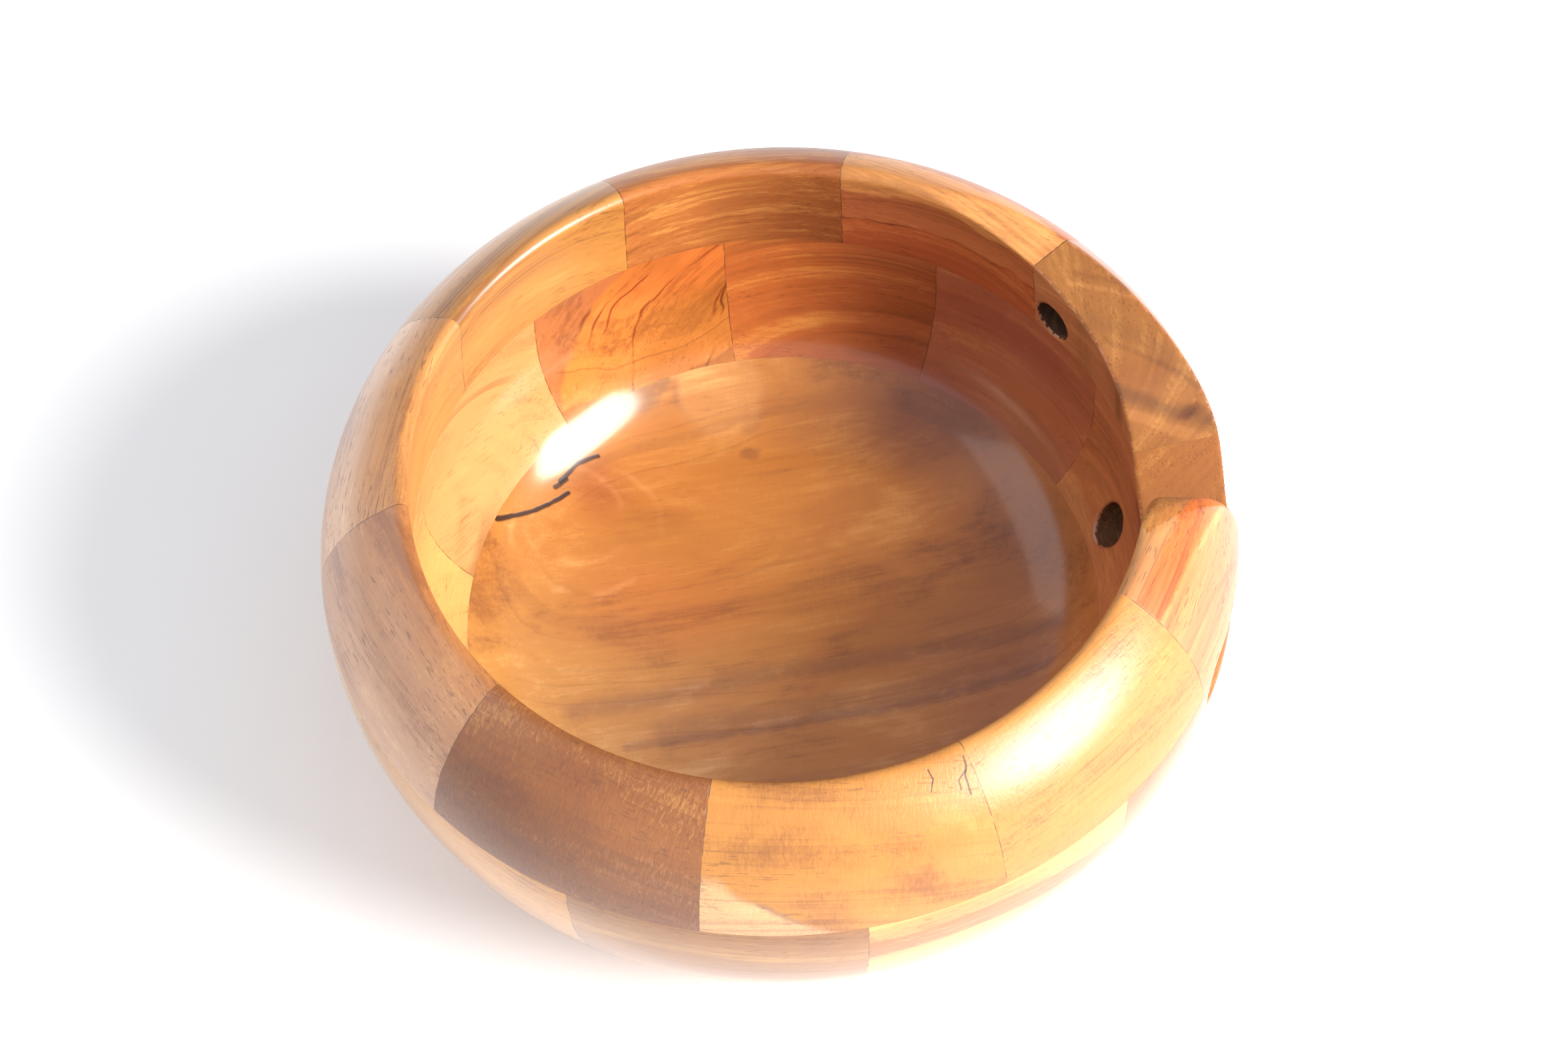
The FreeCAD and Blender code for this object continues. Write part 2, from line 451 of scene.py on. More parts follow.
def slotted_net():
    """The bowl's surface round the slot, from the base joint to the rim."""
    first = WALL_JOINTS[8] - 360 - NET_MARGIN
    last = RIM_JOINTS[2] + NET_MARGIN
    angles = np.radians(np.arange(first, last, NET_ANGLE_STEP))
    radii = np.arange(NET_INNER_RADIUS, OUTER_RADIUS + NET_MARGIN, NET_STEP)
    heights = np.arange(BASE_TOP - NET_MARGIN, HEIGHT + NET_MARGIN, NET_STEP)
    angle, radius, height = np.meshgrid(angles, radii, heights, indexing="ij")
    points = np.stack([radius * np.cos(angle), radius * np.sin(angle), height], -1)
    vertices, quads = surface_net(bowl_distance(points), points)
    vertices = evened(settle(vertices, 3), quads, 2)
    return vertices, quads


def cut_segment(name, net, bottom, top, start, end):
    """The part of the net between two heights and two mitre joints, closed with flat faces."""
    vertices, quads = net
    middle = radians(middle_angle(start, end))
    centres = vertices[quads].mean(1)
    reach = radians((end - start) % 360) / 2 + radians(NET_MARGIN)
    turn = (np.arctan2(centres[:, 1], centres[:, 0]) - middle + pi) % (2 * pi) - pi
    level = (centres[:, 2] > bottom - NET_MARGIN) & (centres[:, 2] < top + NET_MARGIN)
    near = (np.abs(turn) < reach) & level
    used, faces = np.unique(quads[near], return_inverse=True)
    mesh = bpy.data.meshes.new(name)
    mesh.from_pydata((vertices[used] * MM).tolist(), [], faces.reshape(-1, 4).tolist())
    bm = bmesh.new()
    bm.from_mesh(mesh)
    bpy.data.meshes.remove(mesh)
    planes = [
        (Vector((0, 0, bottom * MM)), Vector((0, 0, -1))),
        (Vector(), clockwise(start)),
        (Vector(), -clockwise(end)),
    ]
    if top < HEIGHT:
        planes.append((Vector((0, 0, top * MM)), Vector((0, 0, 1))))
    for place, outward in planes:
        bmesh.ops.bisect_plane(
            bm,
            geom=bm.verts[:] + bm.edges[:] + bm.faces[:],
            dist=JOINT_GAP,
            plane_co=place,
            plane_no=outward,
            clear_outer=True,
        )

    # The cut edges on each plane are joined at the corners, where two planes meet, and filled.
    rims = [v for v in bm.verts if v.is_boundary]
    on_plane = []
    for place, outward in planes:
        on_plane.append({v for v in rims if abs((v.co - place).dot(outward)) < JOINT_GAP})
    for i in range(len(planes)):
        for j in range(i):
            corners = sorted(on_plane[i] & on_plane[j], key=lambda v: v.co.xy.length)
            for a, b in zip(corners[::2], corners[1::2]):
                bm.edges.new((a, b))
    flat = []
    for (place, outward), points in zip(planes, on_plane):
        edges = [e for e in bm.edges if len(e.link_faces) < 2 and points.issuperset(e.verts)]
        filled = bmesh.ops.triangle_fill(bm, edges=edges, normal=outward)["geom"]
        flat += [g for g in filled if isinstance(g, bmesh.types.BMFace)]
    return finish_mesh(bm, name, flat)


# ================================================================ node trees
class Tree:
    """Short calls for building a node tree. A value may be a number, a tuple or another node's output."""

    def __init__(self, tree):
        self.tree = tree

    def add(self, kind, **settings):
        """A new node with its settings."""
        made = self.tree.nodes.new(kind)
        for name, value in settings.items():
            setattr(made, name, value)
        return made

    def put(self, socket, value):
        """Links another node's output to a socket, or sets its value."""
        if isinstance(value, bpy.types.NodeSocket):
            self.tree.links.new(value, socket)
        elif value is not None:
            socket.default_value = value

    def spot(self):
        """The place on the object, in metres."""
        return self.add("ShaderNodeTexCoord").outputs["Object"]

    def math(self, operation, a, b=None, c=None):
        """The result of a sum on one to three numbers."""
        made = self.add("ShaderNodeMath", operation=operation)
        for socket, value in zip(made.inputs, (a, b, c)):
            self.put(socket, value)
        return made.outputs[0]

    def plus(self, a, b):
        return self.math("ADD", a, b)

    def minus(self, a, b):
        return self.math("SUBTRACT", a, b)

    def times(self, a, b):
        return self.math("MULTIPLY", a, b)

    def vector(self, operation, a, b=None):
        """The result of a sum on vectors, which is a number for a dot product or a length."""
        made = self.add("ShaderNodeVectorMath", operation=operation)
        self.put(made.inputs[0], a)
        self.put(made.inputs[3] if operation == "SCALE" else made.inputs[1], b)
        return made.outputs["Value" if operation in ("DOT_PRODUCT", "LENGTH") else "Vector"]

    def noise(self, vector, detail, roughness, distortion=0.0, output="Fac"):
        """Noise with features about one unit of the vector across."""
        made = self.add("ShaderNodeTexNoise")
        self.put(made.inputs["Vector"], vector)
        self.put(made.inputs["Scale"], 1.0)
        self.put(made.inputs["Detail"], detail)
        self.put(made.inputs["Roughness"], roughness)
        self.put(made.inputs["Distortion"], distortion)
        return made.outputs[output]

    def grain(self, place, scale, detail, roughness, distortion=0.0, output="Fac"):
        """Noise over a place, drawn out by its own scale on each axis."""
        return self.noise(self.vector("MULTIPLY", place, scale), detail, roughness, distortion, output)

    def noise_along(self, value, detail, roughness):
        """Noise along one number."""
        made = self.add("ShaderNodeTexNoise", noise_dimensions="1D")
        self.put(made.inputs["W"], value)
        self.put(made.inputs["Scale"], 1.0)
        self.put(made.inputs["Detail"], detail)
        self.put(made.inputs["Roughness"], roughness)
        return made.outputs["Fac"]

    def step(self, value, low, high, start=0.0, end=1.0):
        """A smooth step of a value from low to high, which may be falling."""
        made = self.add("ShaderNodeMapRange", interpolation_type="SMOOTHSTEP")
        for name, number in (("Value", value), ("From Min", low), ("From Max", high)):
            self.put(made.inputs[name], number)
        self.put(made.inputs["To Min"], start)
        self.put(made.inputs["To Max"], end)
        return made.outputs["Result"]

    def swing(self, value, amount, base):
        """A base moved by how far a noise lies from its middle, times an amount."""
        return self.math("MULTIPLY_ADD", self.minus(value, 0.5), amount, base)

    def bend(self, colour, amount):
        """A vector about nought from a noise's colour, times an amount."""
        return self.vector("SCALE", self.vector("SUBTRACT", colour, (0.5, 0.5, 0.5)), amount)

    def mix(self, factor, a, b, blend="MIX"):
        """Two colours mixed by a factor."""
        made = self.add("ShaderNodeMix", data_type="RGBA", blend_type=blend)
        self.put(made.inputs[0], factor)
        self.put(made.inputs[6], a)
        self.put(made.inputs[7], b)
        return made.outputs[2]

    def use(self, group, values):
        """A node of a group, with its inputs set or linked by name."""
        made = self.add("ShaderNodeGroup", node_tree=group)
        for name, value in values.items():
            self.put(made.inputs[name], value)
        return made.outputs


def new_group(name, inputs, outputs):
    """An empty node group and its tree helper, with its input and output nodes. The sockets are
    given as runs of one kind, each the kind and then the names."""
    group = bpy.data.node_groups.new(name, "ShaderNodeTree")
    for side, runs in (("INPUT", inputs), ("OUTPUT", outputs)):
        for kind, *labels in runs:
            for label in labels:
                group.interface.new_socket(label, in_out=side, socket_type="NodeSocket" + kind)
    tree = Tree(group)
    return group, tree, tree.add("NodeGroupInput").outputs, tree.add("NodeGroupOutput").inputs


# ================================================================ wood
# Noise scales of the figure, in waves to the millimetre: across the grain, along it and up
SLOW_WAVES = (0.022, 0.010, 0.022)
QUICK_WAVES = (0.13, 0.03, 0.13)
FIBRES = (1.1, 0.045, 1.1)
THREADS = (4.2, 0.15, 4.2)
PORES = (2.7, 0.3, 2.7)
PORE_PATCHES = (0.16, 0.05, 0.16)
MOTTLES = (0.075, 0.035, 0.075)
TORN_RIDGES = (0.75, 2.1, 0.75)
LARGE_PATCHES = (0.05, 0.02, 0.05)

# Shares of finer detail in the tone, next to the coarser detail that it goes with
QUICK_WAVE_SHARE = 0.16
FINE_BAND_SHARE = 0.7
THREAD_SHARE = 0.6

# Linear colours that all the boards share
BLUSH = (0.34, 0.115, 0.022, 1)
OPEN_PORE = (0.05, 0.02, 0.01, 1)
GLUE = (0.06, 0.022, 0.01, 1)
GLUE_SHARE = 0.6

# Glue lines, in millimetres: how softly they end, and how much thinner the level ones are
SEAM_SOFT = 0.12
LEVEL_SEAM_LOSS = 0.1
SEAM_WIDTH = 0.06

# Bump of a material, in millimetres, and how much rougher a sawn face is
BUMP_DISTANCE = 0.15
SAWN_ROUGHNESS = 0.3

# How far patches and strokes wander from their drawn course, in millimetres, and in what waves
PATCH_WANDER = 7.0
STROKE_WANDER = 1.8
PATCH_WAVES = 0.07
STROKE_WAVES = 0.09

# Sizes in millimetres that make a patch a column through the whole board, upright or along Y
TALL = 400
LONG = 900

# The tones of a board, as sockets of its figure
TONES = ("Light", "Middle", "Dark", "Streak")

# How strongly each part of the figure shows, where a board doesn't say. Spacing is in millimetres.
FIGURE_DEFAULTS = {
    "Spacing": 4.0,
    "Bands": 0.4,
    "Rings": 0.15,
    "Waviness": 7.0,
    "Fibre": 0.7,
    "Pores": 0.6,
    "Mottle": 0.8,
    "Blush": 0.15,
    "Streaks": 0.35,
    "Ridges": 0.15,
}


def wood_group():
    """The figure of one board, from a place in it in millimetres: X and Z from the pith, Y along the
    grain."""
    group, t, given, made = new_group(
        "wood_figure",
        (("Vector", "Place"), ("Color", *TONES), ("Float", *FIGURE_DEFAULTS)),
        (("Color", "Color"), ("Float", "Roughness", "Height")),
    )
    place = given["Place"]

    # Growth rings: the distance from the pith, bent by slow and quick waves
    slow = t.grain(place, SLOW_WAVES, 2, 0.5, output="Color")
    quick = t.grain(place, QUICK_WAVES, 2, 0.5, output="Color")
    slow_bend = t.bend(slow, given["Waviness"])
    quick_bend = t.bend(quick, t.times(given["Waviness"], QUICK_WAVE_SHARE))
    bent = t.vector("ADD", t.vector("ADD", place, slow_bend), quick_bend)
    depth = t.vector("LENGTH", t.vector("MULTIPLY", bent, (1, 0, 1)))
    ring = t.math("DIVIDE", depth, given["Spacing"])
    band = t.step(t.noise_along(t.times(ring, 0.55), 3, 0.6), 0.28, 0.72)
    late = t.math("POWER", t.math("FRACT", t.plus(ring, t.times(band, 1.7))), 5)
    fine_band = t.noise_along(t.times(ring, 4.3), 2, 0.6)

    # Fibres and pores, drawn out along the grain, and short ridges that cross it where the tool tore it
    fibre = t.grain(place, FIBRES, 3, 0.6)
    thread = t.grain(place, THREADS, 2, 0.55)
    pore = t.step(t.grain(place, PORES, 1, 0.5), 0.6, 0.7)
    pore_patch = t.step(t.grain(place, PORE_PATCHES, 2, 0.5), 0.4, 0.6)
    pores = t.times(t.times(pore, pore_patch), given["Pores"])
    mottle = t.grain(place, MOTTLES, 3, 0.6, 0.6)
    ridge = t.grain(place, TORN_RIDGES, 3, 0.65, 0.7)
    ridges = t.times(t.minus(ridge, 0.5), given["Ridges"])

    # Tone from 0, dark, through 0.5 to 1, light
    tone = t.swing(band, given["Bands"], 0.5)
    tone = t.swing(fine_band, t.times(given["Bands"], FINE_BAND_SHARE), tone)
    tone = t.minus(tone, t.times(late, given["Rings"]))
    tone = t.swing(fibre, given["Fibre"], tone)
    tone = t.swing(thread, t.times(given["Fibre"], THREAD_SHARE), tone)
    tone = t.swing(mottle, given["Mottle"], tone)
    tone = t.plus(tone, ridges)
    mixed = t.mix(t.step(tone, 0.0, 0.5), given["Dark"], given["Middle"])
    mixed = t.mix(t.step(tone, 0.5, 1.0), mixed, given["Light"])

    # A redder blush in large patches, and thin lines that follow the rings here and there
    blush = t.step(t.grain(place, LARGE_PATCHES, 2, 0.5, 0.8), 0.42, 0.68)
    mixed = t.mix(t.times(blush, given["Blush"]), mixed, BLUSH)
    line = t.noise_along(t.math("MULTIPLY_ADD", ring, 0.9, 31.7), 1, 0.5)
    line = t.step(t.math("ABSOLUTE", t.minus(line, 0.5)), 0.035, 0.004)
    lines = t.times(line, t.step(t.grain(place, LARGE_PATCHES, 1, 0.5), 0.4, 0.62))
    mixed = t.mix(t.times(lines, given["Streaks"]), mixed, given["Streak"])
    pore_colour = t.mix(0.6, given["Dark"], OPEN_PORE)
    mixed = t.mix(t.times(pores, 0.6), mixed, pore_colour)
    t.put(made["Color"], mixed)

    rough = t.math("MULTIPLY_ADD", fibre, 0.1, t.math("MULTIPLY_ADD", mottle, 0.12, 0.26))
    t.put(made["Roughness"], t.plus(rough, t.times(pores, 0.2)))
    height = t.plus(t.times(thread, 0.35), t.times(fibre, 0.3))
    height = t.math("MULTIPLY_ADD", ridges, 1.6, height)
    t.put(made["Height"], t.minus(height, t.times(pores, 0.8)))
    return group


def seam_group():
    """How near a place on a segment is to its glue lines: 1 on a line, 0 away from it."""
    group, t, given, made = new_group(
        "glue_lines",
        (("Vector", "Place", "First Joint", "Last Joint"), ("Float", "Width")),
        (("Float", "Mask"),),
    )
    place = given["Place"]
    first = t.math("ABSOLUTE", t.vector("DOT_PRODUCT", place, given["First Joint"]))
    last = t.math("ABSOLUTE", t.vector("DOT_PRODUCT", place, given["Last Joint"]))
    split = t.add("ShaderNodeSeparateXYZ")
    t.put(split.inputs[0], place)
    levels = []
    for level in (BASE_TOP, WALL_TOP):
        levels.append(t.math("ABSOLUTE", t.minus(split.outputs["Z"], level)))
    levels = t.plus(t.math("MINIMUM", *levels), LEVEL_SEAM_LOSS)
    gap = t.math("MINIMUM", t.math("MINIMUM", first, last), levels)
    uneven = t.noise(t.vector("SCALE", place, 0.45), 2, 0.6)
    width = t.times(given["Width"], t.step(uneven, 0.25, 0.7))
    near = t.step(t.minus(gap, width), SEAM_SOFT, 0.0)
    t.put(made["Mask"], t.times(near, t.step(uneven, 0.3, 0.55)))
    return group


def stroke_group():
    """How near a place is to a straight run from one point to another: 1 on it, 0 clear of it."""
    group, t, given, made = new_group(
        "stroke",
        (("Vector", "Place", "Start", "Run"), ("Float", "Width", "Soft", "Ragged")),
        (("Float", "Mask"),),
    )
    offset = t.vector("SUBTRACT", given["Place"], given["Start"])
    length = t.vector("DOT_PRODUCT", given["Run"], given["Run"])
    share = t.math("DIVIDE", t.vector("DOT_PRODUCT", offset, given["Run"]), length)
    share = t.math("MINIMUM", t.math("MAXIMUM", share, 0.0), 1.0)
    on_run = t.vector("SCALE", given["Run"], share)
    gap = t.vector("LENGTH", t.vector("SUBTRACT", offset, on_run))
    uneven = t.noise(t.vector("SCALE", given["Place"], 0.35), 2, 0.6)
    uneven = t.times(t.step(uneven, 0.2, 0.8, -1.0, 1.0), given["Ragged"])
    width = t.math("MULTIPLY_ADD", given["Width"], uneven, given["Width"])
    mask = t.step(t.minus(gap, width), given["Soft"], 0.0)
    t.put(made["Mask"], t.times(mask, t.math("MINIMUM", t.plus(uneven, 1.2), 1.0)))
    return group


def patch_group():
    """A rounded patch, 1 inside it and 0 outside, and the line round its edge."""
    group, t, given, made = new_group(
        "patch",
        (("Vector", "Place", "Centre", "Size"), ("Float", "Soft", "Inside")),
        (("Float", "Mask", "Edge"),),
    )
    offset = t.vector("DIVIDE", t.vector("SUBTRACT", given["Place"], given["Centre"]), given["Size"])
    share = t.minus(t.vector("LENGTH", offset), 1.0)
    inside = t.step(share, given["Soft"], t.times(given["Soft"], -1.0))
    outside = t.minus(1.0, given["Inside"])
    t.put(made["Mask"], t.math("ABSOLUTE", t.minus(inside, outside)))
    broken = t.noise(t.vector("SCALE", given["Place"], 0.11), 1, 0.5)
    edge = t.step(t.math("ABSOLUTE", share), given["Soft"], 0.0)
    t.put(made["Edge"], t.times(edge, t.step(broken, 0.4, 0.62)))
    return group


WOOD = wood_group()
SEAM = seam_group()
STROKE = stroke_group()
PATCH = patch_group()


def colour(red, green, blue):
    """A linear colour from the usual 0 to 255 steps of sRGB."""
    return tuple(((c / 255 + 0.055) / 1.055) ** 2.4 for c in (red, green, blue)) + (1.0,)


def board_place(t, turn, pith, tilt=(0.0, 0.0)):
    """Place in a board, in millimetres from its pith. The grain runs at the angle turn, seen from above.
    The pith is given outwards, along the grain and up. The tilt leans the grain up and sideways."""
    lean = Euler((radians(tilt[0]), 0, radians(tilt[1]))).to_matrix()
    board = lean @ Matrix.Rotation(radians(90 - turn), 3, "Z")
    made = t.add("ShaderNodeMapping")
    t.put(made.inputs["Vector"], t.spot())
    t.put(made.inputs["Scale"], (1 / MM,) * 3)
    t.put(made.inputs["Rotation"], board.to_euler("XYZ"))
    t.put(made.inputs["Location"], -(lean @ Vector(pith)))
    return made.outputs["Vector"]


def stroke(points, tone, width, soft, strength, depth=0.0, ragged=0.7):
    """A mark drawn through points seen from above, such as a crack or a dark band."""
    settings = {"Width": width, "Soft": soft, "Ragged": ragged}
    return {"points": points, "tone": tone, "strength": strength, "depth": depth, "settings": settings}


def patch(centre, size, tone, soft, strength, edge=None, edge_strength=0.5, inside=1.0):
    """A mark that fills a rounded patch, or all but the patch, with another tone for the line round it."""
    settings = {"Centre": centre, "Size": size, "Soft": soft, "Inside": inside}
    return {
        "tone": tone,
        "strength": strength,
        "edge": edge,
        "edge_strength": edge_strength,
        "settings": settings,
    }


def edge_line(centre, size, soft, tone, strength):
    """A mark that is only the line round a patch."""
    return patch(centre, size, tone, soft, 0.0, tone, strength)


def outer_side(radius, tone, soft, strength):
    """A mark that fills a rim board's outside, beyond a radius from the bowl's axis."""
    return patch((0, 0, 60), (radius, radius, TALL), tone, soft, strength, inside=0.0)


def tint(tone, middle):
    """What turns a board's middle tone into another tone by multiplying, so that the figure still shows."""
    return tuple(new / old for new, old in zip(colour(*tone), colour(*middle)))


def add_mark(t, place, flat_place, mark, middle, base, height):
    """Lays one mark over a wood colour and height."""
    tone = tint(mark["tone"], middle)
    if "points" not in mark:
        made = t.use(PATCH, {"Place": place, **mark["settings"]})
        if mark["strength"]:
            base = t.mix(t.times(made["Mask"], mark["strength"]), base, tone, "MULTIPLY")
        if mark["edge"]:
            share = t.times(made["Edge"], mark["edge_strength"])
            base = t.mix(share, base, tint(mark["edge"], middle), "MULTIPLY")
        return base, height
    mask = None
    for start, end in zip(mark["points"], mark["points"][1:]):
        line = {"Start": (*start, 0), "Run": (end[0] - start[0], end[1] - start[1], 0)}
        run = t.use(STROKE, {"Place": flat_place, **line, **mark["settings"]})["Mask"]
        mask = run if mask is None else t.math("MAXIMUM", mask, run)
    if mark["depth"]:
        height = t.math("MULTIPLY_ADD", mask, -mark["depth"], height)
    return t.mix(t.times(mask, mark["strength"]), base, tone, "MULTIPLY"), height


FINISHES = {
    "lacquer": {"Coat Weight": 0.8, "Coat Roughness": 0.13, "Coat IOR": 1.5, "Specular IOR Level": 0.15},
    "worn": {"Coat Weight": 0.6, "Coat Roughness": 0.27, "Coat IOR": 1.5, "Specular IOR Level": 0.4},
    "dull": {"Coat Weight": 0.25, "Coat Roughness": 0.2, "Coat IOR": 1.5, "Specular IOR Level": 0.15},
    "sawn": {"Coat Weight": 0.0, "Specular IOR Level": 0.2},
}
BUMPS = {"lacquer": 0.2, "worn": 0.4, "dull": 0.3, "sawn": 0.5}


def new_material(name):
    """An empty material, its tree helper and its shader."""
    made = bpy.data.materials.new(name)
    made.use_nodes = True
    made.node_tree.nodes.clear()
    t = Tree(made.node_tree)
    shader = t.add("ShaderNodeBsdfPrincipled")
    out = t.add("ShaderNodeOutputMaterial")
    t.put(out.inputs["Surface"], shader.outputs[0])
    return made, t, shader.inputs


def add_bump(t, shader, height, strength, distance):
    """Bumps a shader by a height, over a distance in millimetres."""
    bump = t.add("ShaderNodeBump")
    t.put(bump.inputs["Strength"], strength)
    t.put(bump.inputs["Distance"], distance * MM)
    t.put(bump.inputs["Height"], height)
    t.put(shader["Normal"], bump.outputs["Normal"])


def add_figure(t, board, look):
    """The figure of a board: its colour, roughness and height."""
    given = {"Place": board_place(t, board["turn"], board["pith"], board.get("tilt", (0.0, 0.0)))}
    for name in TONES:
        given[name] = colour(*look[name.lower()])
    for name, default in FIGURE_DEFAULTS.items():
        given[name] = board.get(name, default)
    return t.use(WOOD, given)


def add_seams(t, spot, joints, width):
    """How near a place is to a board's glue lines. A board without mitre joints has level ones only."""
    given = {"Place": spot, "Width": width}
    for name, angle in zip(("First Joint", "Last Joint"), joints):
        given[name] = (0, 0, 1) if angle is None else clockwise(angle)
    return t.use(SEAM, given)["Mask"]


def wood_material(name, board, joints, finish="lacquer"):
    """Wood of one board, with its finish, marks and glue lines."""
    made, t, shader = new_material(name)
    for socket, value in FINISHES[finish].items():
        t.put(shader[socket], value)
    look = dict(board, **board["bare"]) if finish == "sawn" and "bare" in board else board
    wood = add_figure(t, board, look)

    # Marks wander a little from their drawn course, as they do in real wood
    spot = t.vector("SCALE", t.spot(), 1 / MM)
    places = []
    for waves, amount in ((PATCH_WAVES, PATCH_WANDER), (STROKE_WAVES, board.get("wander", STROKE_WANDER))):
        wander = t.noise(t.vector("SCALE", spot, waves), 3, 0.5, output="Color")
        places.append(t.vector("ADD", spot, t.bend(wander, amount)))
    place, flat_place = places[0], t.vector("MULTIPLY", places[1], (1, 1, 0))
    base, height = wood["Color"], wood["Height"]
    for mark in board.get("marks", ()):
        base, height = add_mark(t, place, flat_place, mark, look["middle"], base, height)

    seam = add_seams(t, spot, joints, SEAM_WIDTH)
    t.put(shader["Base Color"], t.mix(t.times(seam, GLUE_SHARE), base, GLUE))
    rough = wood["Roughness"]
    if finish == "sawn":
        rough = t.plus(rough, SAWN_ROUGHNESS)
    t.put(shader["Roughness"], rough)
    add_bump(t, shader, t.minus(height, seam), BUMPS[finish], BUMP_DISTANCE)
    return made


LIGHTER = (248, 196, 108)
DARKER = (92, 46, 26)
STREAK = (74, 36, 22)


def tones(middle, contrast=1.0):
    """Four tones of a board round its middle one."""
    def towards(other, share):
        return tuple(m + (o - m) * share * contrast for m, o in zip(middle, other))

    return {
        "middle": middle,
        "light": towards(LIGHTER, 0.3),
        "dark": towards(DARKER, 0.42),
        "streak": towards(STREAK, 0.6),
    }


# Tones that several marks share: bark cracks and dark bands in the floor, and checks in the rim
CRACK = (46, 20, 12)
BAND = (104, 64, 42)
CHECK = (60, 28, 20)
# The dark brown of the drilled holes is painted shade inside them, over bare wood.
PAINTED_BORE_SHADE = tones((66, 42, 30))

# The boards in order round each ring. A pith lies outwards and up from the middle of the foot.
RIM_BOARDS = [
    dict(
        tones((152, 94, 60)), pith=(150, 0, -60), bare=tones((130, 81, 40), 0.8), tilt=(8, 0),
        Bands=0.5, Fibre=0.5, Mottle=0.6, Streaks=0.6,
        marks=[
            stroke([(50, 36.4), (57, 35.4), (66, 32.6)], (166, 112, 62), 0.1, 0.7, 0.3),
            stroke([(51, 38.4), (58, 37.2), (64, 35.2)], (98, 58, 32), 0.1, 0.9, 0.35),
            stroke([(52, 30), (62, 26.5), (68, 22)], (108, 68, 36), 0.4, 2.4, 0.4),
            stroke([(55, 26), (64, 23.4), (70, 20)], (96, 58, 32), 0.1, 0.7, 0.4),
            patch((60.3, 20, 58), (5, 3, 6), (112, 60, 26), 0.8, 0.45),
            stroke([(56, 18.6), (64, 17.2), (72, 16.2)], (88, 54, 30), 0.2, 1.5, 0.6, ragged=0.3),
            stroke([(56, 16.2), (64, 15), (72, 14)], (156, 104, 56), 0.3, 0.7, 0.4, ragged=0.3),
            patch((68.6, 16.4, 52), (2.2, 0.7, 4), (78, 36, 20), 0.6, 0.6),
        ],
    ),
    dict(
        tones((162, 92, 56)), pith=(140, 0, -20), finish="dull", bare=tones((184, 122, 70), 0.8),
        marks=[
            patch((30, 48, 77), (400, 400, 10.5), (204, 142, 82), 0.05, 0.7, (150, 84, 46), 0.4),
            patch((30, 48, 52), (120, 120, 6.6), (146, 62, 34), 0.06, 0.6, (70, 26, 20), 0.75),
            edge_line((16.6, 60.5, 69), (2.4, 1.6, 3), 0.35, (110, 66, 40), 0.6),
        ],
    ),
    dict(
        tones((156, 92, 48), 1.15), pith=(150, 0, -60), tilt=(3, 0), finish="dull", Waviness=3,
        Bands=0.5, Rings=0.05, Fibre=1, Streaks=0.6,
        marks=[
            patch((-26, 54, 60), (20, 24, 16), (186, 116, 60), 0.8, 0.6),
            patch((14, 60, 56), (17, 20, 13), (112, 58, 32), 0.8, 0.7),
        ],
    ),
    dict(
        tones((186, 128, 62)), pith=(130, 0, -30), tilt=(-9, 0), Bands=0.3, Streaks=0.6,
        marks=[patch((-48, 34, 70), (40, 60, 7), (150, 88, 40), 0.5, 0.15)],
    ),
    dict(
        tones((192, 130, 70)), pith=(140, 0, -20), tilt=(4, 0), Bands=0.2, Fibre=0.8, Mottle=1.1,
        Pores=1, Ridges=0.35, Streaks=0.2,
        marks=[outer_side(66, (196, 154, 124), 0.07, 0.9)],
    ),
    dict(
        tones((172, 112, 62)), pith=(125, 0, -10), tilt=(-4, 0), Bands=0.2, Fibre=0.8, Mottle=1.3,
        Pores=1, Ridges=0.45, Streaks=0.15,
        marks=[
            outer_side(66, (176, 132, 102), 0.07, 0.9),
            patch((-19, -68, 58), (28, 22, 24), (128, 78, 42), 0.8, 0.8),
        ],
    ),
    dict(
        tones((129, 74, 31), 0.9), pith=(135, 0, -15), tilt=(3, 0), Ridges=1.5, Fibre=0.12,
        Bands=0.3, Mottle=1.2, Pores=0.7, Blush=0.35,
        marks=[
            outer_side(70, (106, 59, 27), 0.06, 0.8),
            patch((-23, -72, 50), (17, 14, 17), (148, 94, 54), 0.8, 0.6),
        ],
    ),
    dict(
        tones((178, 118, 52)), pith=(120, 0, 0), tilt=(2, 8), Bands=0.12, Fibre=0.12, Mottle=1.7,
        Pores=0.7, Ridges=0.6, Blush=0.15,
        marks=[
            patch((-94, -72, -121), (198, LONG, 198), (206, 164, 118), 0.005, 0.75, (120, 78, 40), 0.7),
            stroke([(26, -56), (26.4, -57.3), (26.2, -58.6), (26.9, -60.8)], CHECK, 0.06, 0.18, 0.9, 1.5),
            stroke([(26.3, -58), (25.2, -59.4), (25.5, -60.4)], CHECK, 0.04, 0.14, 0.8, 1.2),
            stroke([(20.7, -58), (21.3, -59.2), (20.9, -60.9)], CHECK, 0.05, 0.16, 0.8, 1.2),
        ],
    ),
    dict(tones((184, 124, 60)), pith=(140, 0, 0), Bands=0.15, Streaks=0.1, Waviness=4, Ridges=0.6),
    dict(
        tones((178, 122, 72)), pith=(150, 0, 0), tilt=(0, 15), Pores=1,
        bare=tones((168, 104, 52)), wander=0.8,
        marks=[
            stroke([(79, -8), (66, -35)], (192, 112, 68), 7, 0.6, 0.7, ragged=0.03),
            stroke([(69.4, -4.9), (55.4, -33.6)], (192, 96, 34), 1.8, 0.5, 0.8, ragged=0.12),
            stroke([(71.4, -5.7), (57.4, -34.5)], (218, 146, 88), 0.25, 0.4, 0.45, ragged=0.3),
            stroke([(67.3, -4.1), (53.3, -32.8)], (150, 84, 46), 0.05, 0.3, 0.4, ragged=0.3),
            stroke([(72.9, -13.2), (60.6, -38.4)], (150, 82, 50), 0.05, 0.4, 0.4, ragged=0.3),
        ],
    ),
]
